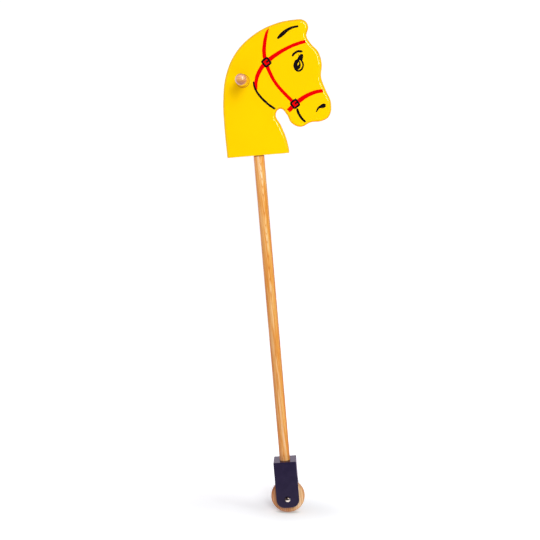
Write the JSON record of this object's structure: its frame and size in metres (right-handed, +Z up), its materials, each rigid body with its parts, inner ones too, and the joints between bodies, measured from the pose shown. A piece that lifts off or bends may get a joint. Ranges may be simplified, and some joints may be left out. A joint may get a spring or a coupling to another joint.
{
  "type": "hobby horse",
  "caption": "Flat wooden horse's head on a round stick, with a cross grip bar through the neck and a small free-turning wheel in a fork block at the foot.",
  "frame": {"origin": "middle of the grip bar, on its axis and in the middle of the head board's thickness", "axes": "+Z up along the stick, +X from the neck towards the muzzle, +Y away from the side that the picture shows, along the grip bar and the axle"},
  "size_m": [0.1976, 0.131, 0.9279],
  "materials": {
    "yellow_paint": "glossy yellow paint on a wooden board, with a painted bridle, eye and outlines",
    "grip_wood": "satin varnish on a beech dowel",
    "stick_wood": "satin varnish on a long-grained dowel",
    "pin_wood": "bare beech",
    "navy_paint": "glossy dark navy paint on wood",
    "wheel_wood": "satin varnish on turned beech",
    "axle_steel": "bright drawn steel",
    "washer_steel": "zinc plated",
    "cap_chrome": "polished chrome plate"
  },
  "bodies": {
    "horse": {"head_board": "yellow_paint", "handle_dowel": "grip_wood", "stick": "stick_wood", "neck_pin": "pin_wood", "wheel_block": "navy_paint", "axle": "axle_steel", "axle_cap_front": "cap_chrome", "axle_cap_rear": "cap_chrome", "washer_front": "washer_steel", "washer_rear": "washer_steel"},
    "wheel": {"wheel": "wheel_wood"}
  },
  "joints": [
    {"name": "wheel_spin", "type": "hinge", "parent": "horse", "child": "wheel", "pos_m": [0.017, 0, -0.7953], "axis": [0, 1, 0], "continuous": true}
  ]
}
